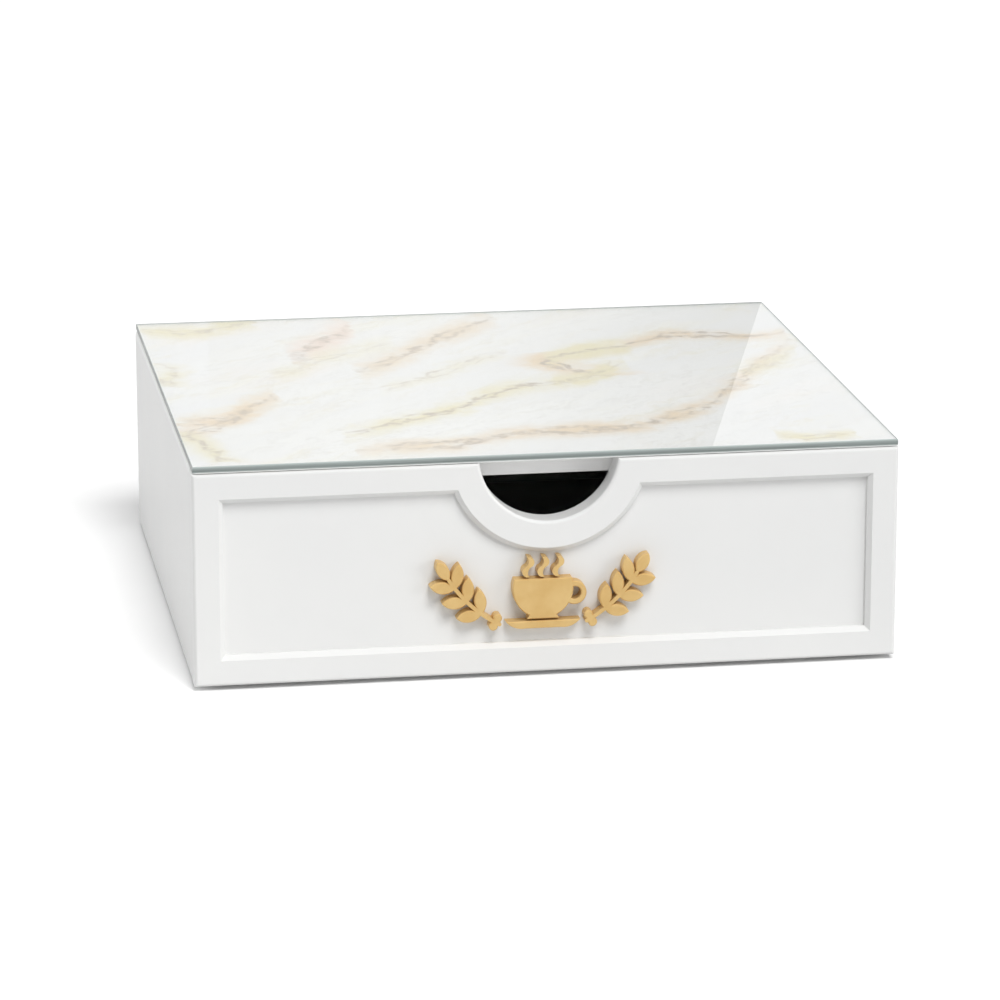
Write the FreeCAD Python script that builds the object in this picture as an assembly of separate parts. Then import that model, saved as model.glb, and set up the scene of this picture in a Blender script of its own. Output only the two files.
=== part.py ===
"""Coffee capsule drawer: a low box of painted board with one pull-out tray and a glass top.

Millimetres, +Z up. X runs to the right and the drawer's front faces -Y.
The origin is under the middle of the whole object, on the surface that it stands on.
"""
import FreeCAD
import Part
import math
import os

from FreeCAD import Vector

# Overall size
OVERALL_WIDTH = 330.0
CASE_DEPTH = 298.0
CASE_HEIGHT = 104.9

# Feet
FOOT_HEIGHT = 2.0
FOOT_RADIUS = 8.0
FOOT_INSET = 20.0

# Boards of the case
SIDE_BOARD = 9.0
TOP_BOARD = 9.0
BOTTOM_BOARD = 9.0
BACK_BOARD = 9.0
EDGE_ROUND = 1.5
REBATE_DEPTH = 3.0

# Glass top, from the pane down to the tape
GLASS_THICKNESS = 3.0
GLASS_INSET = 0.4
GLASS_CORNER_RADIUS = 2.0
GLASS_ARRIS = 0.4
FILM_THICKNESS = 0.3
FILM_INSET = 0.3
TAPE_THICKNESS = 0.5
TAPE_WIDTH = 12.0
TAPE_SETBACK = 8.0
TAPE_CORNER_GAP = 4.0

# Drawer front
FRONT_BOARD = 9.0
FRONT_FRAME = 4.0
FRAME_BORDER = 14.2
FRAME_BEVEL = 2.2
FRAME_EDGE_ROUND = 1.5
NOTCH_RADIUS = 32.6
NOTCH_CENTRE_RISE = 4.0
NOTCH_RIM = 14.9
NOTCH_BACK_BEVEL = 1.0

# Drawer tray
DRAWER_SIDE = 9.0
DRAWER_BACK = 9.0
DRAWER_BOTTOM = 3.0
DRAWER_HEIGHT = 66.0
DRAWER_EDGE_ROUND = 1.0
GROOVE_DEPTH = 4.0
GROOVE_LIFT = 6.0

# Wooden dowels between the drawer's front and the tray's sides
DOWEL_RADIUS = 2.5
DOWEL_IN_FACE = 6.0
DOWEL_IN_END = 12.0
DOWEL_END_DISTANCE = 9.0
DOWELS_PER_CORNER = 2

# Gaps
DRAWER_FRONT_GAP = 0.4
DRAWER_TOP_GAP = 0.4
DRAWER_FLOOR_LIFT = 0.4
DRAWER_SIDE_GAP = 1.0
DRAWER_UNDER_GAP = 0.3
DRAWER_BACK_GAP = 3.0
GROOVE_FIT = 0.1
GROOVE_END_GAP = 0.3
DOWEL_FIT = 0.05
DOWEL_END_GAP = 0.3

# What every cutter reaches past the board, and the most of a thickness that a bevel or round takes
CUT_MARGIN = 1.0
EDGE_LIMIT_SHARE = 0.8

# Gold ornament on the front: its place, its thickness and its parts
ORNAMENT_OFFSET_X = -3.0
ORNAMENT_LIFT_SHARE = 0.83
ORNAMENT_ROOM_SHARE = 0.95
ORNAMENT_THICKNESS = 6.0
ORNAMENT_BEVEL = 0.5
CUP_RIM_WIDTH = 27.0
CUP_BASE_WIDTH = 13.0
CUP_HEIGHT = 17.5
CUP_BELLY = 2.6
CUP_FOOT_WIDTH = 15.0
CUP_FOOT_HEIGHT = 1.8
HANDLE_RADIUS = 5.6
HANDLE_WIDTH = 2.6
SAUCER_WIDTH = 35.0
SAUCER_BASE_WIDTH = 17.0
SAUCER_HEIGHT = 3.6
SAUCER_BELLY = 1.0
STEAM_COUNT = 3
STEAM_PITCH = 7.0
STEAM_HEIGHT = 9.6
STEAM_SWING = 1.5
STEAM_WIDTH = 2.6
STEAM_END_WIDTH = 1.2
ORNAMENT_GAP = 0.9

# The sprigs of the ornament: three points of the stem, from the ornament's middle, and its leaves
STEM_FOOT_X = 20.5
STEM_FOOT_DROP = 14.5
STEM_BEND_X = 33.4
STEM_BEND_DROP = 5.3
STEM_TIP_X = 44.0
STEM_TIP_RISE = 7.5
STEM_WIDTH = 1.8
LEAF_LENGTH = 12.0
LEAF_WIDTH = 5.8
END_LEAF_LENGTH = 10.5
LEAF_ANGLE_DEGREES = 46.0
LEAF_PAIRS = 3
FIRST_LEAF_SHARE = 0.3
LAST_LEAF_SHARE = 0.84
CHERRY_RADIUS = 2.1

# Places that follow from the sizes
ORNAMENT_PROUD = max(ORNAMENT_THICKNESS - FRONT_FRAME, 0.0)
half_width = OVERALL_WIDTH / 2
front_y = ORNAMENT_PROUD - (CASE_DEPTH + ORNAMENT_PROUD) / 2
back_y = front_y + CASE_DEPTH
field_y = front_y + FRONT_FRAME
tray_front_y = field_y + FRONT_BOARD
case_front_y = tray_front_y + DRAWER_FRONT_GAP
inner_back_y = back_y - BACK_BOARD
inner_half_width = half_width - SIDE_BOARD

case_base_z = FOOT_HEIGHT
glass_top_z = case_base_z + CASE_HEIGHT
glass_base_z = glass_top_z - GLASS_THICKNESS
film_base_z = glass_base_z - FILM_THICKNESS
case_top_z = film_base_z - TAPE_THICKNESS
inner_floor_z = case_base_z + BOTTOM_BOARD
inner_ceiling_z = case_top_z - TOP_BOARD

front_base_z = case_base_z + DRAWER_FLOOR_LIFT
front_top_z = film_base_z - DRAWER_TOP_GAP
notch_centre = Vector(0, 0, front_top_z + NOTCH_CENTRE_RISE)
rim_radius = NOTCH_RADIUS + NOTCH_RIM

tray_half_width = inner_half_width - DRAWER_SIDE_GAP
tray_inner_half_width = tray_half_width - DRAWER_SIDE
tray_back_y = inner_back_y - DRAWER_BACK_GAP
tray_base_z = inner_floor_z + DRAWER_UNDER_GAP
tray_top_z = tray_base_z + DRAWER_HEIGHT
bottom_base_z = tray_base_z + GROOVE_LIFT
bottom_top_z = bottom_base_z + DRAWER_BOTTOM

ALONG_Y = Vector(0, 1, 0)
TOUCH = 1e-4


def block(x, y, z):
    """A rectangular solid between two values on each axis."""
    return Part.makeBox(x[1] - x[0], y[1] - y[0], z[1] - z[0], Vector(x[0], y[0], z[0]))


def edges_in_plane(shape, axis, value):
    """The edges that lie wholly at one value of x, y or z."""
    box_ends = {"x": ("XMin", "XMax"), "y": ("YMin", "YMax"), "z": ("ZMin", "ZMax")}[axis]
    found = []
    for edge in shape.Edges:
        box = edge.BoundBox
        if all(abs(getattr(box, end) - value) < TOUCH for end in box_ends):
            found.append(edge)
    return found


def write_part(name, *solids):
    """Checks the solids of one node and writes them to its file."""
    shape = solids[0] if len(solids) == 1 else Part.makeCompound(list(solids))
    if not shape.isValid() or not shape.Solids:
        raise ValueError(f"{name} isn't a valid solid")
    shape.exportStep(f"parts/{name}.step")


def spread(low, high, count):
    """Evenly spread places between two ends, the ends included."""
    return [low + (high - low) * i / (count - 1) for i in range(count)]


# Wooden dowels, which run from the back of the drawer's front into the ends of the tray's sides

def dowel_points(side):
    """Where the dowels of one side of the tray cross the joint."""
    x = side * (tray_half_width - DRAWER_SIDE / 2)
    ends = (bottom_top_z + DOWEL_END_DISTANCE, tray_top_z - DOWEL_END_DISTANCE)
    return [Vector(x, tray_front_y, z) for z in spread(*ends, DOWELS_PER_CORNER)]


def dowel(point):
    start = point - ALONG_Y * DOWEL_IN_FACE
    return Part.makeCylinder(DOWEL_RADIUS, DOWEL_IN_FACE + DOWEL_IN_END, start, ALONG_Y)


def drilled(board, points):
    """The board with a blind hole for each dowel, on whichever side of the joint it lies."""
    for point in points:
        start = point - ALONG_Y * (DOWEL_IN_FACE + DOWEL_END_GAP)
        length = DOWEL_IN_FACE + DOWEL_IN_END + 2 * DOWEL_END_GAP
        board = board.cut(Part.makeCylinder(DOWEL_RADIUS + DOWEL_FIT, length, start, ALONG_Y))
    return board


# The case

def case_board(y, z):
    """A board that spans between the sides and sits in their rebates."""
    x = inner_half_width + REBATE_DEPTH
    return block((-x, x), y, z)


def case_side(side, boards):
    """A full-height side with rebates for the boards, rounded along its outer face except at the front."""
    x = sorted((side * half_width, side * inner_half_width))
    panel = block(x, (case_front_y, back_y), (case_base_z, case_top_z))
    outer = edges_in_plane(panel, "x", side * half_width)
    at_front = edges_in_plane(panel, "y", case_front_y)
    rounded = [edge for edge in outer if not any(edge.isSame(other) for other in at_front)]
    panel = panel.makeFillet(EDGE_ROUND, rounded)
    for board in boards:
        panel = panel.cut(board)
    return panel


def foot(x, y):
    """A round soft pad."""
    return Part.makeCylinder(FOOT_RADIUS, FOOT_HEIGHT, Vector(x, y, 0))


# The glass top

def sheet(inset, base_z, thickness, corner_radius):
    """A flat sheet over the whole case with rounded corners."""
    x = half_width - inset
    plate = block((-x, x), (front_y + inset, back_y - inset), (base_z, base_z + thickness))
    corners = [edge for edge in plate.Edges if abs(edge.Length - thickness) < TOUCH]
    return plate.makeFillet(corner_radius, corners)


def glass_pane():
    pane = sheet(GLASS_INSET, glass_base_z, GLASS_THICKNESS, GLASS_CORNER_RADIUS)
    rims = edges_in_plane(pane, "z", glass_base_z) + edges_in_plane(pane, "z", glass_top_z)
    return pane.makeChamfer(GLASS_ARRIS, rims)


def tape_strips():
    """Four strips on the top board: front and back run across, the others fit between them."""
    z = (case_top_z, film_base_z)
    x_end = inner_half_width - TAPE_SETBACK
    y_front = case_front_y + TAPE_SETBACK
    y_back = inner_back_y - TAPE_SETBACK
    strips = [
        block((-x_end, x_end), (y_front, y_front + TAPE_WIDTH), z),
        block((-x_end, x_end), (y_back - TAPE_WIDTH, y_back), z),
    ]
    y = (y_front + TAPE_WIDTH + TAPE_CORNER_GAP, y_back - TAPE_WIDTH - TAPE_CORNER_GAP)
    for side in (-1, 1):
        x = sorted((side * x_end, side * (x_end - TAPE_WIDTH)))
        strips.append(block(x, y, z))
    return strips


# The drawer's front

def notch_cutter(radius, y):
    """A round bar through the front about the finger notch's centre."""
    start = Vector(notch_centre.x, y[0], notch_centre.z)
    return Part.makeCylinder(radius, y[1] - y[0], start, ALONG_Y)


def front_blank(y):
    """A plate of the drawer front's outline, with the finger notch cut through."""
    plate = block((-half_width, half_width), y, (front_base_z, front_top_z))
    return plate.cut(notch_cutter(NOTCH_RADIUS, (y[0] - CUT_MARGIN, y[1] + CUT_MARGIN)))


def on_outline(edge):
    """Whether an edge of the front reaches its outer outline. The notch counts, as it opens at the top."""
    box = edge.BoundBox
    return (box.XMax > half_width - TOUCH or box.XMin < TOUCH - half_width
            or box.ZMin < front_base_z + TOUCH or box.ZMax > front_top_z - TOUCH)


def front_frame():
    """The raised frame: rails and half-round rim in one, bevelled to the sunk field, rounded outside."""
    x = half_width - FRAME_BORDER
    z = (front_base_z + FRAME_BORDER, front_top_z - FRAME_BORDER)
    y = (front_y - CUT_MARGIN, field_y + CUT_MARGIN)
    field = block((-x, x), y, z).cut(notch_cutter(rim_radius, y))
    frame = front_blank((front_y, field_y)).cut(field)
    edge_limit = EDGE_LIMIT_SHARE * FRONT_FRAME
    inner = [edge for edge in edges_in_plane(frame, "y", front_y) if not on_outline(edge)]
    frame = frame.makeChamfer(min(FRAME_BEVEL, edge_limit), inner)
    outer = [edge for edge in edges_in_plane(frame, "y", front_y) if on_outline(edge)]
    return frame.makeFillet(min(FRAME_EDGE_ROUND, edge_limit), outer)


def notch_arc(plate, y):
    """The notch's arc on one face of the plate."""
    return [edge for edge in edges_in_plane(plate, "y", y)
            if edge.Curve.TypeId == "Part::GeomCircle" and abs(edge.Curve.Radius - NOTCH_RADIUS) < TOUCH]


def front_board():
    """The board behind the frame, grooved for the tray's bottom and drilled for its sides."""
    board = front_blank((field_y, tray_front_y))
    board = board.makeChamfer(NOTCH_BACK_BEVEL, notch_arc(board, tray_front_y))
    x = tray_inner_half_width + GROOVE_DEPTH
    groove = block((-x, x), (tray_front_y - GROOVE_DEPTH, tray_front_y + CUT_MARGIN),
                   (bottom_base_z - GROOVE_FIT, bottom_top_z + GROOVE_FIT))
    return drilled(board.cut(groove), dowel_points(-1) + dowel_points(1))


# The drawer's tray

def eased(board, thickness):
    """The board with its two long top edges rounded."""
    top = [edge for edge in edges_in_plane(board, "z", tray_top_z) if edge.Length > thickness + TOUCH]
    return board.makeFillet(DRAWER_EDGE_ROUND, top)


def tray_back_blank():
    """The back of the tray, which stands on the bottom and sits in the sides' rebates."""
    x = tray_inner_half_width + REBATE_DEPTH
    return block((-x, x), (tray_back_y - DRAWER_BACK, tray_back_y), (bottom_top_z, tray_top_z))


def tray_side(side):
    """A side of the tray, eased along its top, grooved for the bottom and rebated for the back."""
    x = sorted((side * tray_half_width, side * tray_inner_half_width))
    board = block(x, (tray_front_y, tray_back_y), (tray_base_z, tray_top_z))
    board = eased(board, DRAWER_SIDE).cut(tray_back_blank())
    wall = side * tray_inner_half_width
    groove_x = sorted((wall - side * CUT_MARGIN, wall + side * GROOVE_DEPTH))
    groove = block(groove_x, (tray_front_y - CUT_MARGIN, tray_back_y + CUT_MARGIN),
                   (bottom_base_z - GROOVE_FIT, bottom_top_z + GROOVE_FIT))
    return drilled(board.cut(groove), dowel_points(side))


def tray_bottom():
    x = tray_inner_half_width + GROOVE_DEPTH - GROOVE_END_GAP
    y_front = tray_front_y - GROOVE_DEPTH + GROOVE_END_GAP
    return block((-x, x), (y_front, tray_back_y), (bottom_base_z, bottom_top_z))


# The gold ornament: outlines in the plane of the front, u to the right and v up from its middle

def spot(u, v):
    return Vector(u, 0, v)


def closed_face(edges):
    return Part.Face(Part.Wire(edges))


def disc(centre, radius):
    return closed_face([Part.makeCircle(radius, centre, ALONG_Y)])


def stroke(edges, width):
    """A band of one width along a chain of edges, with round ends."""
    band = Part.Wire(edges).makeOffset2D(width / 2, 0, False, False, False)
    return Part.Face(band)


def leaf(base, heading, length, width):
    """A pointed oval: two arcs between base and tip."""
    along = spot(math.cos(heading), math.sin(heading))
    across = spot(-math.sin(heading), math.cos(heading))
    tip = base + along * length
    middle = base + along * (length / 2)
    return closed_face([
        Part.Arc(base, middle + across * (width / 2), tip).toShape(),
        Part.Arc(tip, middle - across * (width / 2), base).toShape(),
    ])


# Heights in the ornament, above its middle
ornament_height = SAUCER_HEIGHT + CUP_FOOT_HEIGHT + CUP_HEIGHT + STEAM_HEIGHT + 2 * ORNAMENT_GAP
saucer_low = -ornament_height / 2
saucer_high = saucer_low + SAUCER_HEIGHT
cup_low = saucer_high + ORNAMENT_GAP
bowl_low = cup_low + CUP_FOOT_HEIGHT
cup_high = bowl_low + CUP_HEIGHT
steam_low = cup_high + ORNAMENT_GAP

# The ornament stands between the frame's lower rail and the notch's rim, and is drawn smaller where
# that room is low
room_low_z = front_base_z + FRAME_BORDER
room_height = notch_centre.z - rim_radius - room_low_z
ornament_scale = min(1.0, ORNAMENT_ROOM_SHARE * room_height / ornament_height)
drawn_height = ornament_height * ornament_scale
ornament_base_z = room_low_z + (room_height - drawn_height) * ORNAMENT_LIFT_SHARE
ornament_middle = Vector(ORNAMENT_OFFSET_X, field_y, ornament_base_z + drawn_height / 2)


def belly(wide, narrow, low, high, swell):
    """A point of a round side that swells out below the straight line from narrow base to wide rim."""
    return spot((wide + narrow) / 2 + swell, (low + high) / 2 - swell)


def cup_outlines():
    """A bowl with round sides on a flaring foot, and a ring for its handle."""
    rim = CUP_RIM_WIDTH / 2
    base = CUP_BASE_WIDTH / 2
    foot_x = CUP_FOOT_WIDTH / 2
    side = belly(rim, base, bowl_low, cup_high, CUP_BELLY)
    bowl = closed_face([
        Part.makeLine(spot(-rim, cup_high), spot(rim, cup_high)),
        Part.Arc(spot(rim, cup_high), side, spot(base, bowl_low)).toShape(),
        Part.makeLine(spot(base, bowl_low), spot(foot_x, cup_low)),
        Part.makeLine(spot(foot_x, cup_low), spot(-foot_x, cup_low)),
        Part.makeLine(spot(-foot_x, cup_low), spot(-base, bowl_low)),
        Part.Arc(spot(-base, bowl_low), spot(-side.x, side.z), spot(-rim, cup_high)).toShape(),
    ])
    ring_centre = spot(rim + HANDLE_WIDTH / 2, (bowl_low + cup_high) / 2 + HANDLE_WIDTH / 2)
    ring = disc(ring_centre, HANDLE_RADIUS).cut(disc(ring_centre, HANDLE_RADIUS - HANDLE_WIDTH))
    return [bowl, ring]


def saucer_outline():
    """A shallow dish with round undersides."""
    edge = SAUCER_WIDTH / 2
    base = SAUCER_BASE_WIDTH / 2
    side = belly(edge, base, saucer_low, saucer_high, SAUCER_BELLY)
    return closed_face([
        Part.makeLine(spot(-edge, saucer_high), spot(edge, saucer_high)),
        Part.Arc(spot(edge, saucer_high), side, spot(base, saucer_low)).toShape(),
        Part.makeLine(spot(base, saucer_low), spot(-base, saucer_low)),
        Part.Arc(spot(-base, saucer_low), spot(-side.x, side.z), spot(-edge, saucer_high)).toShape(),
    ])


def steam_outline(u):
    """One wisp: an S-shaped band that narrows towards both ends."""
    low, low_bend, middle, high_bend, high = spread(steam_low, steam_low + STEAM_HEIGHT, 5)
    half = STEAM_WIDTH / 2
    end = STEAM_END_WIDTH / 2
    swing = STEAM_SWING
    return closed_face([
        Part.Arc(spot(u - end, low), spot(u - swing - half, low_bend), spot(u - half, middle)).toShape(),
        Part.Arc(spot(u - half, middle), spot(u + swing - half, high_bend), spot(u - end, high)).toShape(),
        Part.makeLine(spot(u - end, high), spot(u + end, high)),
        Part.Arc(spot(u + end, high), spot(u + swing + half, high_bend), spot(u + half, middle)).toShape(),
        Part.Arc(spot(u + half, middle), spot(u - swing + half, low_bend), spot(u + end, low)).toShape(),
        Part.makeLine(spot(u + end, low), spot(u - end, low)),
    ])


def sprig_leaves(arc):
    """Pairs of leaves along the stem and one at its tip."""
    first, last = arc.FirstParameter, arc.LastParameter
    leaves = []
    for share in spread(FIRST_LEAF_SHARE, LAST_LEAF_SHARE, LEAF_PAIRS):
        at = first + (last - first) * share
        tangent = arc.tangent(at)[0]
        heading = math.atan2(tangent.z, tangent.x)
        for turn in (-1, 1):
            angle = heading + turn * math.radians(LEAF_ANGLE_DEGREES)
            leaves.append(leaf(arc.value(at), angle, LEAF_LENGTH, LEAF_WIDTH))
    tangent = arc.tangent(last)[0]
    leaves.append(leaf(arc.value(last), math.atan2(tangent.z, tangent.x), END_LEAF_LENGTH, LEAF_WIDTH))
    return leaves


def sprig(side):
    """A stem that sweeps out and up, with leaves along it and two cherries at its foot."""
    foot_end = spot(side * STEM_FOOT_X, -STEM_FOOT_DROP)
    bend = spot(side * STEM_BEND_X, -STEM_BEND_DROP)
    tip = spot(side * STEM_TIP_X, STEM_TIP_RISE)
    arc = Part.Arc(foot_end, bend, tip)
    tangent = arc.tangent(arc.FirstParameter)[0]
    across = spot(-tangent.z, tangent.x)
    pieces = [raised(stroke([arc.toShape()], STEM_WIDTH))]
    for turn in (-1, 1):
        centre = foot_end + (tangent + across * turn) * CHERRY_RADIUS
        pieces.append(bevelled(raised(disc(centre, CHERRY_RADIUS))))
    return fused(pieces + [bevelled(raised(outline)) for outline in sprig_leaves(arc)])


def raised(outline):
    """A flat piece of the ornament, standing on the sunk field."""
    face = outline.copy()
    face.scale(ornament_scale)
    face.translate(ornament_middle)
    return face.extrude(ALONG_Y * -ORNAMENT_THICKNESS).Solids[0]


def bevelled(solid):
    """The piece with its front edges bevelled."""
    rims = edges_in_plane(solid, "y", field_y - ORNAMENT_THICKNESS)
    return solid.makeChamfer(ORNAMENT_BEVEL, rims)


def fused(solids):
    """One piece from pieces that keep their own bevels where they run together."""
    return solids[0].multiFuse(solids[1:]).removeSplitter().Solids[0]


def build_case():
    bottom = case_board((case_front_y, inner_back_y), (case_base_z, inner_floor_z))
    top = case_board((case_front_y, inner_back_y), (inner_ceiling_z, case_top_z))
    back = case_board((inner_back_y, back_y), (case_base_z, case_top_z))
    write_part("case_bottom", bottom)
    write_part("case_top", top)
    write_part("case_back", back)
    write_part("case_left_side", case_side(-1, (bottom, top, back)))
    write_part("case_right_side", case_side(1, (bottom, top, back)))
    for row, y in (("front", case_front_y + FOOT_INSET), ("back", back_y - FOOT_INSET)):
        for column, side in (("left", -1), ("right", 1)):
            write_part(f"foot_{row}_{column}", foot(side * (half_width - FOOT_INSET), y))


def build_glass_top():
    write_part("glass_tape_strips", *tape_strips())
    film_inset = GLASS_INSET + FILM_INSET
    film_corner = max(GLASS_CORNER_RADIUS - FILM_INSET, 0.5)
    write_part("marble_film", sheet(film_inset, film_base_z, FILM_THICKNESS, film_corner))
    write_part("glass_top", glass_pane())


def build_drawer():
    write_part("drawer_front_board", front_board())
    write_part("drawer_front_frame", front_frame())
    write_part("drawer_left_side", tray_side(-1))
    write_part("drawer_right_side", tray_side(1))
    write_part("drawer_back", eased(tray_back_blank(), DRAWER_BACK))
    write_part("drawer_bottom", tray_bottom())
    write_part("drawer_dowels", *[dowel(point) for side in (-1, 1) for point in dowel_points(side)])


def build_ornament():
    middle = (STEAM_COUNT - 1) / 2
    wisps = [raised(steam_outline((i - middle) * STEAM_PITCH)) for i in range(STEAM_COUNT)]
    write_part("ornament_cup", fused([bevelled(raised(outline)) for outline in cup_outlines()]))
    write_part("ornament_saucer", bevelled(raised(saucer_outline())))
    write_part("ornament_steam", *wisps)
    write_part("ornament_left_sprig", sprig(-1))
    write_part("ornament_right_sprig", sprig(1))


os.makedirs("parts", exist_ok=True)
build_case()
build_glass_top()
build_drawer()
build_ornament()
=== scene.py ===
"""The looks of a coffee capsule drawer.

White lacquered boards, a glass top over a marble print, and a gold ornament. Lengths are in metres. X runs
to the right, Y to the back and Z up.
"""
import math

import bmesh
import bpy
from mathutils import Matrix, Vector


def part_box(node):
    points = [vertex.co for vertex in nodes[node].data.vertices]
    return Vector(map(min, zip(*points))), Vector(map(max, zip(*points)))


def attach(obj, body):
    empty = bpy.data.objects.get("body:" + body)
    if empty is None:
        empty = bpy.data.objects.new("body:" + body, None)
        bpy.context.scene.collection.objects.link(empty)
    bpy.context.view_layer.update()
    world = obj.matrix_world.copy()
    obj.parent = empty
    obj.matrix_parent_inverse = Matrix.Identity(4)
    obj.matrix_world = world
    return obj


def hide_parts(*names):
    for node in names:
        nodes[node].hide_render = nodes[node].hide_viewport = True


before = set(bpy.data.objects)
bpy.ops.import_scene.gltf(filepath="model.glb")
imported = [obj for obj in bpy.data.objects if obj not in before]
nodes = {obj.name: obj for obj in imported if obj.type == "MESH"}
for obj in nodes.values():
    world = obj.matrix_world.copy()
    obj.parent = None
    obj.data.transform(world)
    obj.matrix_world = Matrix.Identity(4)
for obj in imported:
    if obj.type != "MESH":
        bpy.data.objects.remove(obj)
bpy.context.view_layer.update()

# Millimetres in metres, and how near to each other two heights count as one
MM = 0.001
TOUCH = 1e-6

# The photograph's camera: its place and tilt, lens and sensor width in millimetres, and how far it sees
CAMERA_PLACE = (-0.35453, -2.19676, 0.64114)
CAMERA_TILT = (math.radians(75.016), 0.0, math.radians(-9.192))
CAMERA_LENS = 168.25
CAMERA_SENSOR = 36.0
CAMERA_REACH = 200.0

# Light: the level of the world, and the level, direction and spread of each lamp
WORLD_LEVEL = 0.28
KEY_LEVEL, KEY_FROM, KEY_SPREAD = 2.15, (0.34, -1.60, 2.30), math.radians(30.0)
RIGHT_LEVEL, RIGHT_FROM, RIGHT_SPREAD = 0.72, (2.0, -1.2, 0.38), math.radians(25.0)
SIDE_LEVEL, SIDE_FROM, SIDE_SPREAD = 1.3, (-2.0, 1.5, 0.75), math.radians(40.0)

# Stage: the floor's width, and the distance and the edges of the card that the glass mirrors
FLOOR_WIDTH = 60.0
CARD_DISTANCE = 2.5
CARD_FOOT, CARD_HEAD, CARD_LEFT = 0.20, 0.95, 0.10
CARD_RIGHT_AT_FOOT, CARD_RIGHT_AT_HEAD = 0.827, 0.584

# Glass pane: its box, its corners' round, its eased arrises, the air under it and its shading angle
pane_low, pane_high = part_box("glass_top")
PANE_CORNER, PANE_ARRIS, PANE_AIR = 2.0 * MM, 0.4 * MM, 0.05 * MM
PANE_SMOOTH = math.radians(16.0)

# Feet: the round of their lower rim and their shading angle
FOOT_ROUND = 0.7 * MM
FOOT_SMOOTH = math.radians(40.0)


def colour(red, green, blue):
    return (red, green, blue, 1.0)


WHITE = colour(1.0, 1.0, 1.0)


class Finish:
    """One material while its nodes are put together."""

    def __init__(self, name):
        self.material = bpy.data.materials.new(name)
        self.material.use_nodes = True
        self.tree = self.material.node_tree
        self.tree.nodes.clear()
        self.place = self.add("ShaderNodeTexCoord").outputs["Object"]

    def add(self, kind, inputs=None, **settings):
        """A node; each of its inputs takes a value or another node's output."""
        node = self.tree.nodes.new(kind)
        for name, value in settings.items():
            setattr(node, name, value)
        for key, value in (inputs or {}).items():
            if isinstance(value, bpy.types.NodeSocket):
                self.tree.links.new(value, node.inputs[key])
            else:
                node.inputs[key].default_value = value
        return node

    def math(self, operation, first, second=0.0):
        return self.add("ShaderNodeMath", {0: first, 1: second}, operation=operation).outputs[0]

    def parts(self, vector):
        """The X, Y and Z parts of a vector."""
        return self.add("ShaderNodeSeparateXYZ", {0: vector}).outputs

    def facing(self, axis):
        """How squarely the surface faces along an axis, either way, from 0 to 1."""
        normal = self.add("ShaderNodeNewGeometry").outputs["Normal"]
        return self.math("ABSOLUTE", self.parts(normal)[axis])

    def noise(self, scale, detail, roughness, place=None):
        """A noise value from 0 to 1, with its scale in grains per metre."""
        inputs = {"Vector": place or self.place, "Scale": scale, "Detail": detail, "Roughness": roughness}
        return self.add("ShaderNodeTexNoise", inputs).outputs["Fac"]

    def stretched(self, scale):
        """Object coordinates, stretched."""
        return self.add("ShaderNodeMapping", {"Vector": self.place, "Scale": scale}).outputs["Vector"]

    def ramp(self, value, low, high, start=0.0, end=1.0, smooth=True):
        """The value taken from one range to another, and held at the ends."""
        inputs = {"Value": value, "From Min": low, "From Max": high, "To Min": start, "To Max": end}
        kind = "SMOOTHSTEP" if smooth else "LINEAR"
        node = self.add("ShaderNodeMapRange", inputs, interpolation_type=kind, clamp=True)
        return node.outputs["Result"]

    def mix(self, share, first, second):
        """One colour turned into another by a share from 0 to 1."""
        return self.add("ShaderNodeMix", {0: share, 6: first, 7: second}, data_type="RGBA").outputs[2]

    def bump(self, height, depth, normal=None):
        """A bump whose depth is in metres."""
        inputs = {"Height": height, "Distance": depth, "Strength": 1.0}
        if normal is not None:
            inputs["Normal"] = normal
        return self.add("ShaderNodeBump", inputs).outputs["Normal"]

    def surface(self, inputs):
        return self.add("ShaderNodeBsdfPrincipled", inputs).outputs["BSDF"]

    def done(self, shader):
        self.add("ShaderNodeOutputMaterial", {"Surface": shader})
        return self.material


def lacquer(name, white, shade, grain_depth, roughness):
    """Sprayed lacquer on fibreboard: slightly cloudy, with orange peel and the board's fine pimples."""
    pimple_grey = colour(0.66, 0.655, 0.64)
    f = Finish(name)
    cloud = f.noise(7.0, 3.0, 0.6)
    peel = f.noise(420.0, 2.0, 0.55)
    pimples = f.noise(2300.0, 1.0, 0.5)
    base = f.mix(f.ramp(cloud, 0.3, 0.72), white, shade)
    base = f.mix(f.ramp(pimples, 0.62, 0.85, 0.0, 0.10), base, pimple_grey)
    gloss = f.math("ADD", f.ramp(cloud, 0.25, 0.75, roughness - 0.04, roughness + 0.05),
                   f.ramp(peel, 0.3, 0.7, -0.03, 0.03))
    normal = f.bump(pimples, grain_depth * 0.3 * MM, f.bump(peel, grain_depth * MM))
    return f.done(f.surface({"Base Color": base, "Roughness": gloss, "Normal": normal,
                             "Specular IOR Level": 0.45, "Coat Weight": 0.12, "Coat Roughness": 0.3}))


# Marble: the colours of the stone, its cracks, its veins and halos, the print's grain and the cut edge

STONE_COOL, STONE_PALE = colour(0.886, 0.887, 0.900), colour(0.936, 0.934, 0.926)
STONE_CREAM, STONE_BLUSH = colour(0.920, 0.905, 0.815), colour(0.940, 0.885, 0.850)
CRACK_BROWN, CRACK_GREY = colour(0.80, 0.74, 0.58), colour(0.62, 0.60, 0.57)
VEIN_BROWN = colour(0.34, 0.235, 0.14)
YELLOW, OCHRE, ROSE = colour(0.82, 0.73, 0.40), colour(0.82, 0.60, 0.33), colour(0.90, 0.68, 0.56)
PRINT_GRAIN, SHEET_EDGE = colour(0.7, 0.69, 0.67), colour(0.78, 0.79, 0.78)

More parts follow.
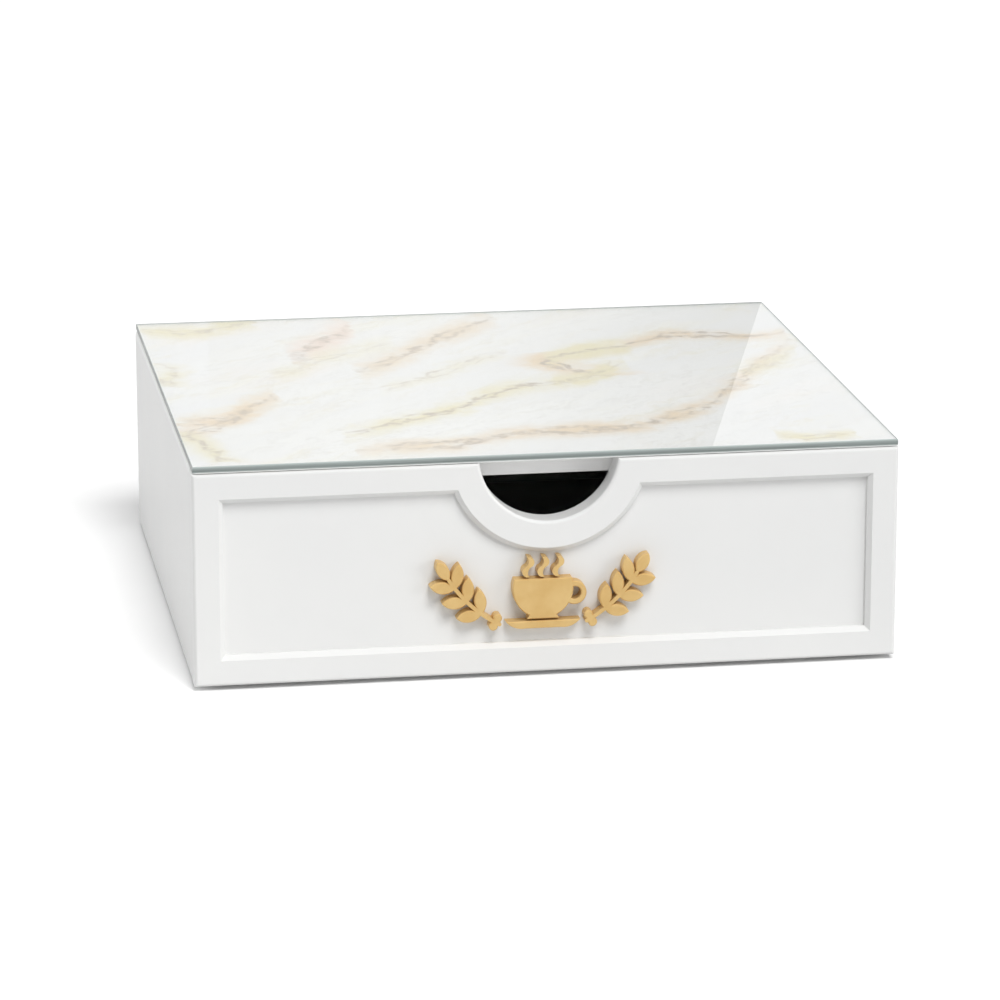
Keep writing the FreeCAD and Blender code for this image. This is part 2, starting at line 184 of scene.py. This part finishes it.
# A vein's strength along its way, the room beside its curve, and how far its line strays from the curve
VEIN_STRENGTH = [(0.0, 0.0), (0.12, 0.8), (0.5, 1.0), (0.88, 0.8), (1.0, 0.0)]
VEIN_ROOM = 1.0
VEIN_STRAY = 4.5

# Each vein, in millimetres on the print seen from above: the axis that it runs along, its points, its
# line's width and strength, and its halo's width, strength and colour
VEINS = [
    ("x", [(-162, 138), (-150, 131), (-136, 130), (-122, 134), (-104, 146)],
     2.4, 0.70, 24.0, 1.20, YELLOW),
    ("x", [(-94, 60), (-84, 80), (-74, 96), (-65, 112), (-57, 140)], 4.0, 0.85, 18.0, 1.00, ROSE),
    ("y", [(-160, 64), (-155, 50), (-154, 38), (-158, 26), (-156, 10)], 2.2, 0.55, 13.0, 0.85, YELLOW),
    ("x", [(-163, -66), (-152, -60), (-140, -54), (-131, -44), (-122, -30), (-110, -12)],
     3.2, 0.95, 18.0, 1.00, OCHRE),
    ("x", [(-161, -88), (-151, -76), (-142, -62), (-133, -50), (-124, -38)], 2.8, 0.85, 13.0, 0.85, OCHRE),
    ("y", [(-162, -78), (-158, -94), (-157, -108), (-152, -126), (-146, -140)],
     2.6, 0.75, 13.0, 0.90, YELLOW),
    ("x", [(-66, 26), (-50, 47), (-37, 64), (-22, 84), (-10, 99), (2, 116), (20, 139)],
     3.2, 0.95, 19.0, 0.80, OCHRE),
    ("x", [(-90, -98), (-75, -86), (-55, -72), (-41, -63), (-28, -53), (-15, -34), (4, -16),
           (22, -12), (35, -7), (46, 4), (54, 14), (62, 30)], 2.8, 1.10, 17.0, 1.10, YELLOW),
    ("y", [(58, 1), (48, 13), (38, 23), (32, 33), (34, 45), (44, 57)], 4.0, 1.80, 26.0, 1.45, OCHRE),
    ("x", [(28, -8), (42, -2), (54, 10), (68, 26)], 2.6, 0.60, 17.0, 1.40, YELLOW),
    ("x", [(38, 47), (48, 55), (60, 58), (70, 61), (77, 68), (88, 76), (100, 84), (112, 83),
           (125, 81), (137, 77), (148, 75), (162, 91)], 3.2, 1.20, 15.0, 1.10, OCHRE),
    ("x", [(30, 40), (46, 52), (60, 59), (78, 64)], 3.2, 0.90, 23.0, 1.60, YELLOW),
    ("x", [(-86, -128), (-74, -124), (-52, -122), (-36, -122), (-20, -111), (-7, -104), (6, -102),
           (24, -103), (38, -100), (54, -98), (71, -83), (85, -71), (95, -59), (105, -39),
           (115, -22), (126, 0), (137, 17), (148, 38), (160, 66)], 3.6, 1.00, 17.0, 1.00, OCHRE),
    ("x", [(110, -130), (119, -132), (128, -134), (137, -134), (148, -132)],
     2.0, 0.60, 13.0, 1.15, YELLOW),
    ("x", [(120, 2), (129, 7), (138, 9), (148, 22), (158, 44)], 2.0, 0.40, 14.0, 0.80, YELLOW),
    ("x", [(-110, 24), (-92, 40), (-78, 62), (-60, 74), (-38, 92)], 2.2, 0.45, 18.0, 0.55, YELLOW),
    ("x", [(-60, -12), (-40, 8), (-22, 22), (-4, 46), (14, 60)], 2.0, 0.55, 13.0, 0.45, YELLOW),
]


def drawn_curve(f, value, points):
    """A drawn curve from 0..1 to 0..1 through the points."""
    node = f.add("ShaderNodeFloatCurve", {"Value": value})
    line = node.mapping.curves[0]
    line.points[0].location = points[0]
    line.points[1].location = points[-1]
    for point in points[1:-1]:
        line.points.new(*point)
    node.mapping.update()
    return node.outputs["Value"]


def vein_distance(f, axis, x, y, points):
    """How far a place on the print is from a vein's curve, in metres, and its share of the vein's way."""
    along_place, across_place = (x, y) if axis == "x" else (y, x)
    curve = sorted(points if axis == "x" else [(b, a) for a, b in points])
    start, end = curve[0][0], curve[-1][0]
    low = min(across for _, across in curve) - VEIN_ROOM
    high = max(across for _, across in curve) + VEIN_ROOM
    share = f.ramp(along_place, start * MM, end * MM, smooth=False)
    drawn = [((along - start) / (end - start), (across - low) / (high - low)) for along, across in curve]
    middle = f.math("MULTIPLY", drawn_curve(f, share, drawn), (high - low) * MM)
    middle = f.math("ADD", middle, low * MM)
    slope = math.atan2(abs(curve[-1][1] - curve[0][1]), end - start)
    gap = f.math("ABSOLUTE", f.math("SUBTRACT", across_place, middle))
    return f.math("MULTIPLY", gap, math.cos(slope)), share


def wandering(f, place, scale, reach):
    """A place moved by up to half the reach in millimetres, as a hand-drawn line wanders."""
    inputs = {"Vector": f.place, "Scale": scale, "Detail": 3.0, "Roughness": 0.6}
    drift = f.add("ShaderNodeTexNoise", inputs).outputs["Color"]
    half = (0.5, 0.5, 0.5)
    drift = f.add("ShaderNodeVectorMath", {0: drift, 1: half}, operation="SUBTRACT").outputs[0]
    drift = f.add("ShaderNodeVectorMath", {0: drift, "Scale": reach * MM}, operation="SCALE").outputs[0]
    return f.add("ShaderNodeVectorMath", {0: place, 1: drift}, operation="ADD").outputs[0]


def streaks(f, flow, scale, width):
    """Thin broken lines that run with the flow of the stone."""
    waves = f.noise(scale, 5.0, 0.62, flow)
    return f.ramp(f.math("ABSOLUTE", f.math("SUBTRACT", waves, 0.5)), 0.0, width, 1.0, 0.0)


def stone(f, flow):
    """White marble without its veins: soft clouds of cool, cream and blush, and faint slanting cracks."""
    cloud = f.noise(17.0, 4.0, 0.55, flow)
    warm = f.noise(24.0, 4.0, 0.6, flow)
    blush = f.noise(13.0, 3.0, 0.55, flow)
    base = f.mix(f.ramp(cloud, 0.32, 0.68), STONE_COOL, STONE_PALE)
    base = f.mix(f.ramp(warm, 0.50, 0.70, 0.0, 0.80), base, STONE_CREAM)
    base = f.mix(f.ramp(blush, 0.56, 0.74, 0.0, 0.70), base, STONE_BLUSH)
    brown = f.math("MULTIPLY", streaks(f, flow, 30.0, 0.030), f.ramp(warm, 0.40, 0.62, 0.10, 0.55))
    grey = f.math("MULTIPLY", streaks(f, flow, 52.0, 0.020), f.ramp(cloud, 0.36, 0.62, 0.0, 0.50))
    return f.mix(grey, f.mix(brown, base, CRACK_BROWN), CRACK_GREY)


def veined(f, base, x, y):
    """The stone with its veins: thin broken brown lines, each in a patchy halo."""
    patches = f.noise(42.0, 5.0, 0.7)
    ragged = f.noise(150.0, 4.0, 0.7)
    stray = f.ramp(f.noise(30.0, 3.0, 0.6), 0.42, 0.68, 0.0, VEIN_STRAY * MM)
    for axis, points, line_width, line_strength, halo_width, halo_strength, tint in VEINS:
        gap, share = vein_distance(f, axis, x, y, points)
        strength = drawn_curve(f, share, VEIN_STRENGTH)
        halo = f.math("MULTIPLY", f.ramp(gap, 0.0, halo_width * MM, halo_strength, 0.0), strength)
        halo = f.math("MULTIPLY", halo, f.ramp(patches, 0.33, 0.57, 0.25, 1.0))
        base = f.mix(halo, base, tint)
        line_gap = f.math("ABSOLUTE", f.math("SUBTRACT", gap, stray))
        line = f.math("MULTIPLY", f.ramp(line_gap, 0.0, line_width * MM, line_strength, 0.0), strength)
        line = f.math("MULTIPLY", line, f.ramp(ragged, 0.40, 0.60, 0.15, 1.0))
        base = f.mix(line, base, VEIN_BROWN)
    return base


def marble_print():
    """A print of white marble with brown veins in yellow and rose halos. The sheet's cut edge is pale."""
    f = Finish("marble_print")
    moved = wandering(f, f.place, scale=26.0, reach=16.0)
    moved = wandering(f, moved, scale=130.0, reach=10.0)
    slant = {"Vector": moved, "Rotation": (0.0, 0.0, math.radians(42.0)), "Scale": (3.0, 0.7, 1.0)}
    flow = f.add("ShaderNodeMapping", slant, vector_type="TEXTURE").outputs["Vector"]
    x, y, _ = f.parts(moved)
    base = veined(f, stone(f, flow), x, y)
    grain = f.noise(900.0, 2.0, 0.6)
    base = f.mix(f.ramp(grain, 0.45, 0.8, 0.0, 0.05), base, PRINT_GRAIN)
    at_edge = f.math("LESS_THAN", f.facing("Z"), 0.5)
    base = f.mix(at_edge, base, SHEET_EDGE)
    return f.done(f.surface({"Base Color": base, "Roughness": f.ramp(grain, 0.3, 0.7, 0.42, 0.5),
                             "Specular IOR Level": 0.35}))


def lets_light_by(f, shader, tint):
    """The shader for what looks at the glass, and a clear tint for the light on its way through it."""
    path = f.add("ShaderNodeLightPath").outputs
    through = f.add("ShaderNodeBsdfTransparent", {"Color": tint}).outputs[0]
    spread = f.add("ShaderNodeMixShader", {0: path["Is Diffuse Ray"], 1: shader, 2: through}).outputs[0]
    return f.add("ShaderNodeMixShader", {0: path["Is Shadow Ray"], 1: spread, 2: through}).outputs[0]


def clear_glass():
    """Float glass."""
    f = Finish("clear_glass")
    glass = f.surface({"Base Color": colour(0.985, 0.992, 0.988), "Roughness": 0.004, "IOR": 1.5,
                       "Transmission Weight": 1.0})
    return f.done(lets_light_by(f, glass, colour(0.985, 0.99, 0.985)))


def glass_edge_painted_light():
    """The ground edge, grey-green: a painted highlight at its top and foot, painted shade between and at
    the sides.
    """
    # Painted shade, a painted mid tone, a painted highlight for the top arris and painted light for the
    # foot; then the grinding tones, and painted shade for the side edges
    dark, middle = colour(0.130, 0.155, 0.147), colour(0.27, 0.305, 0.295)
    head, foot = colour(0.47, 0.53, 0.515), colour(0.50, 0.54, 0.53)
    milky, ground, painted_side_shade = colour(0.36, 0.42, 0.41), colour(0.46, 0.52, 0.51), colour(0.080, 0.086, 0.083)
    f = Finish("ground_glass_edge_painted_light")
    height = f.ramp(f.parts(f.place)["Z"], pane_low.z, pane_high.z, smooth=False)
    marks = f.noise(240.0, 3.0, 0.6, f.stretched((0.08, 0.08, 4.0)))
    depth = f.noise(11.0, 2.0, 0.5)
    # Painted light and shade by height: darker low down, a painted highlight along the top arris and
    # painted light at the foot
    base = f.mix(f.ramp(height, 0.15, 0.70), dark, middle)
    base = f.mix(f.ramp(height, 0.62, 0.98), base, head)
    base = f.mix(f.ramp(height, 0.06, 0.30, 1.0, 0.0), base, foot)
    base = f.mix(f.ramp(depth, 0.35, 0.7, 0.0, 0.18), base, milky)
    base = f.mix(f.ramp(marks, 0.45, 0.75, 0.0, 0.2), base, ground)
    # Painted shade on the side edges, for the darker room that they would mirror
    base = f.mix(f.ramp(f.facing("X"), 0.40, 0.70, 0.0, 0.80), base, painted_side_shade)
    edge = f.surface({"Base Color": base, "Roughness": f.ramp(marks, 0.3, 0.7, 0.12, 0.3),
                      "Specular IOR Level": 0.6, "Normal": f.bump(marks, 0.01 * MM)})
    return f.done(lets_light_by(f, edge, colour(0.93, 0.96, 0.95)))


def satin_gold():
    """Satin gold paint over a cut board: fine metal flake with a slight unevenness."""
    deep, pale, spark = colour(0.745, 0.487, 0.185), colour(0.825, 0.578, 0.248), colour(0.91, 0.72, 0.40)
    f = Finish("satin_gold")
    cloud = f.noise(60.0, 3.0, 0.6)
    flake = f.noise(2600.0, 2.0, 0.6)
    base = f.mix(f.ramp(cloud, 0.3, 0.7), deep, pale)
    base = f.mix(f.ramp(flake, 0.55, 0.8, 0.0, 0.35), base, spark)
    gloss = f.ramp(flake, 0.3, 0.7, 0.34, 0.5)
    return f.done(f.surface({"Base Color": base, "Metallic": 0.55, "Roughness": gloss,
                             "Normal": f.bump(flake, 0.012 * MM)}))


def beech():
    """Turned beech: pale brown with short dark flecks along the grain."""
    brown, pale, fleck = colour(0.62, 0.42, 0.25), colour(0.72, 0.52, 0.33), colour(0.38, 0.22, 0.12)
    f = Finish("beech")
    grain = f.noise(90.0, 4.0, 0.6, f.stretched((9.0, 1.0, 9.0)))
    flecks = f.noise(420.0, 2.0, 0.6, f.stretched((1.0, 0.12, 1.0)))
    base = f.mix(f.ramp(grain, 0.3, 0.7), brown, pale)
    base = f.mix(f.ramp(flecks, 0.6, 0.75, 0.0, 0.5), base, fleck)
    return f.done(f.surface({"Base Color": base, "Roughness": 0.6, "Normal": f.bump(grain, 0.05 * MM)}))


def foam(name, pale, dark, cell_scale):
    """Closed-cell foam: fine cells and a slightly powdery surface."""
    f = Finish(name)
    cells = f.add("ShaderNodeTexVoronoi", {"Vector": f.place, "Scale": cell_scale}).outputs["Distance"]
    dust = f.noise(150.0, 3.0, 0.6)
    base = f.mix(f.ramp(cells, 0.0, 0.6), dark, pale)
    base = f.mix(f.ramp(dust, 0.4, 0.8, 0.0, 0.3), base, dark)
    return f.done(f.surface({"Base Color": base, "Roughness": 0.85, "Normal": f.bump(cells, 0.08 * MM),
                             "Specular IOR Level": 0.25}))


# Modelling by hand

def start_piece(name):
    """Names the primitive that was just added."""
    piece = bpy.context.object
    piece.name = name
    piece.data.name = name
    return piece


def box_between(name, low, high):
    """A primitive cube made to fill a box, with its size in its mesh."""
    bpy.ops.object.select_all(action="DESELECT")
    low, high = Vector(low), Vector(high)
    bpy.ops.mesh.primitive_cube_add(size=1.0, location=(low + high) / 2)
    piece = start_piece(name)
    piece.scale = high - low
    bpy.ops.object.transform_apply(location=True, rotation=True, scale=True)
    return piece


def bevel_edges(piece, wanted, width, segments):
    """Bevels the edges of a piece for which the test holds."""
    bpy.ops.object.select_all(action="DESELECT")
    piece.select_set(True)
    bpy.context.view_layer.objects.active = piece
    bpy.ops.object.mode_set(mode="EDIT")
    bpy.ops.mesh.select_all(action="DESELECT")
    mesh = bmesh.from_edit_mesh(piece.data)
    for edge in mesh.edges:
        edge.select_set(wanted(edge))
    mesh.select_flush(False)
    bmesh.update_edit_mesh(piece.data)
    bpy.ops.mesh.bevel(offset=width, segments=segments, affect="EDGES")
    bpy.ops.object.mode_set(mode="OBJECT")


def at_height(edge, height):
    """Whether an edge lies flat at a height."""
    return all(abs(vert.co.z - height) < TOUCH for vert in edge.verts)


def upright(edge):
    """Whether an edge of a box stands upright."""
    a, b = (vert.co.z for vert in edge.verts)
    return abs(a - b) > TOUCH


def glass_pane():
    """The pane: rounded corners, and a ground edge with eased arrises."""
    foot, head = pane_low.z + PANE_AIR, pane_high.z
    pane = box_between("glass_pane", (pane_low.x, pane_low.y, foot), pane_high)
    bevel_edges(pane, upright, PANE_CORNER, segments=6)
    bevel_edges(pane, lambda edge: at_height(edge, foot) or at_height(edge, head), PANE_ARRIS, segments=2)
    pane.data.materials.append(clear_glass())
    pane.data.materials.append(glass_edge_painted_light())
    for face in pane.data.polygons:
        lies_flat = abs(face.normal.z) > 0.98
        face.material_index = 0 if lies_flat else 1
    bpy.ops.object.shade_smooth_by_angle(angle=PANE_SMOOTH)
    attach(pane, "case")
    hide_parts("glass_top")


def foot_pad(node, finish):
    """A soft pad, rounded where it meets the table."""
    low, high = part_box(node)
    radius, thickness, middle = (high.x - low.x) / 2, high.z - low.z, (low + high) / 2
    bpy.ops.object.select_all(action="DESELECT")
    bpy.ops.mesh.primitive_cylinder_add(vertices=64, radius=radius, depth=thickness, location=middle)
    pad = start_piece(node + "_pad")
    bpy.ops.object.transform_apply(location=True, rotation=True, scale=True)
    bevel_edges(pad, lambda edge: at_height(edge, low.z), FOOT_ROUND, segments=4)
    bpy.ops.object.shade_smooth_by_angle(angle=FOOT_SMOOTH)
    pad.data.materials.append(finish)
    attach(pad, "case")
    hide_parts(node)


# Stage: floor, world, lamps and camera

def pale_floor():
    """A plain pale floor. The camera sees it as white, with the object's shadow on it."""
    paint, lift, glow = colour(0.78, 0.78, 0.78), colour(0.10, 0.10, 0.10), 0.03
    bpy.ops.object.select_all(action="DESELECT")
    bpy.ops.mesh.primitive_plane_add(size=FLOOR_WIDTH, location=(0.0, 0.0, 0.0))
    floor = start_piece("floor")
    f = Finish("pale_floor")
    painted = f.add("ShaderNodeBsdfDiffuse", {"Color": paint}).outputs[0]
    white = f.add("ShaderNodeBsdfDiffuse", {"Color": WHITE}).outputs[0]
    lifted = f.add("ShaderNodeBsdfDiffuse", {"Color": lift}).outputs[0]
    glowing = f.add("ShaderNodeEmission", {"Color": WHITE, "Strength": glow}).outputs[0]
    shown = f.add("ShaderNodeAddShader", {0: white, 1: lifted}).outputs[0]
    shown = f.add("ShaderNodeAddShader", {0: shown, 1: glowing}).outputs[0]
    camera = f.add("ShaderNodeLightPath").outputs["Is Camera Ray"]
    choice = f.add("ShaderNodeMixShader", {0: camera, 1: painted, 2: shown}).outputs[0]
    floor.data.materials.append(f.done(choice))


def grey_card():
    """A plain card behind the object that only gloss sees. It fades to white towards its left end."""
    tint = colour(1.0, 0.994, 0.965)
    bpy.ops.object.select_all(action="DESELECT")
    bpy.ops.mesh.primitive_plane_add(size=1.0, location=(0.0, 0.0, 0.0))
    card = start_piece("grey_card")
    corners = [(CARD_LEFT, CARD_FOOT), (CARD_RIGHT_AT_FOOT, CARD_FOOT),
               (CARD_LEFT, CARD_HEAD), (CARD_RIGHT_AT_HEAD, CARD_HEAD)]
    for vert, (x, z) in zip(card.data.vertices, corners):
        vert.co = (x, CARD_DISTANCE, z)
    f = Finish("grey_card")
    x, _, z = f.parts(f.place)
    strength = f.math("MULTIPLY", f.ramp(x, 0.30, 0.66, 1.0, 0.60), f.ramp(z, 0.62, 0.80, 0.93, 1.0))
    light = f.add("ShaderNodeEmission", {"Color": tint, "Strength": strength}).outputs[0]
    card.data.materials.append(f.done(light))
    card.visible_camera = False
    card.visible_diffuse = False
    card.visible_shadow = False
    card.visible_transmission = False


def soft_world():
    """An even pale world, white where the camera sees it, and where gloss and glass do at first hand."""
    world = bpy.data.worlds.new("soft_world")
    bpy.context.scene.world = world
    world.use_nodes = True
    tree = world.node_tree
    tree.nodes.clear()

    def background(strength):
        node = tree.nodes.new("ShaderNodeBackground")
        node.inputs["Color"].default_value = WHITE
        node.inputs["Strength"].default_value = strength
        return node.outputs[0]

    def combine(operation, first, second):
        node = tree.nodes.new("ShaderNodeMath")
        node.operation = operation
        tree.links.new(first, node.inputs[0])
        if isinstance(second, bpy.types.NodeSocket):
            tree.links.new(second, node.inputs[1])
        else:
            node.inputs[1].default_value = second
        return node.outputs[0]

    path = tree.nodes.new("ShaderNodeLightPath").outputs
    mirrored = combine("MAXIMUM", path["Is Glossy Ray"], path["Is Transmission Ray"])
    first_hand = combine("LESS_THAN", path["Diffuse Depth"], 0.5)
    seen = combine("MAXIMUM", path["Is Camera Ray"], combine("MULTIPLY", mirrored, first_hand))
    choice = tree.nodes.new("ShaderNodeMixShader")
    tree.links.new(seen, choice.inputs[0])
    tree.links.new(background(WORLD_LEVEL), choice.inputs[1])
    tree.links.new(background(1.0), choice.inputs[2])
    output = tree.nodes.new("ShaderNodeOutputWorld")
    tree.links.new(choice.outputs[0], output.inputs["Surface"])


def sun(name, strength, place, spread):
    """A broad soft light from far away, in the direction of a place."""
    bpy.ops.object.light_add(type="SUN", location=place)
    lamp = bpy.context.object
    lamp.name = name
    lamp.data.energy = strength
    lamp.data.angle = spread
    lamp.rotation_euler = (-Vector(place)).to_track_quat("-Z", "Y").to_euler()
    lamp.visible_glossy = False
    lamp.visible_transmission = False


def photo_camera():
    bpy.ops.object.camera_add(location=CAMERA_PLACE, rotation=CAMERA_TILT)
    camera = bpy.context.object
    camera.name = "photo_camera"
    camera.data.lens = CAMERA_LENS
    camera.data.sensor_width = CAMERA_SENSOR
    camera.data.clip_end = CAMERA_REACH
    bpy.context.scene.camera = camera


def dress(names, finish):
    """Gives CAD nodes their finish."""
    for name in names:
        piece = nodes[name]
        piece.data.materials.clear()
        piece.data.materials.append(finish)


# The object

outer_lacquer = lacquer("white_lacquer", colour(0.823, 0.824, 0.813), colour(0.799, 0.802, 0.796),
                        grain_depth=0.02, roughness=0.36)
# A paler copy of the white lacquer for the top board: painted light on its front edge, which sits in shade
# under the glass behind the finger notch
top_lacquer_painted_light = lacquer("top_board_lacquer_painted_light", colour(0.90, 0.90, 0.89), colour(0.885, 0.885, 0.875),
                      grain_depth=0.02, roughness=0.36)
inner_lacquer = lacquer("inner_lacquer", colour(0.80, 0.80, 0.785), colour(0.775, 0.775, 0.76),
                        grain_depth=0.035, roughness=0.48)
tape_foam = foam("foam_tape", colour(0.80, 0.80, 0.77), colour(0.66, 0.66, 0.63), cell_scale=1400.0)
pad_foam = foam("pad_foam", colour(0.72, 0.72, 0.70), colour(0.52, 0.52, 0.50), cell_scale=900.0)

dress(["case_left_side", "case_right_side", "case_back", "case_bottom",
       "drawer_front_board", "drawer_front_frame"], outer_lacquer)
dress(["case_top"], top_lacquer_painted_light)
dress(["drawer_left_side", "drawer_right_side", "drawer_back", "drawer_bottom"], inner_lacquer)
dress(["marble_film"], marble_print())
dress(["glass_tape_strips"], tape_foam)
dress(["drawer_dowels"], beech())
dress(["ornament_cup", "ornament_saucer", "ornament_steam", "ornament_left_sprig", "ornament_right_sprig"],
      satin_gold())

glass_pane()
for corner in ("front_left", "front_right", "back_left", "back_right"):
    foot_pad("foot_" + corner, pad_foam)

pale_floor()
grey_card()
soft_world()
sun("key_lamp", KEY_LEVEL, KEY_FROM, KEY_SPREAD)
sun("side_lamp", SIDE_LEVEL, SIDE_FROM, SIDE_SPREAD)
sun("right_lamp", RIGHT_LEVEL, RIGHT_FROM, RIGHT_SPREAD)
photo_camera()
bpy.context.scene.view_settings.view_transform = "Standard"
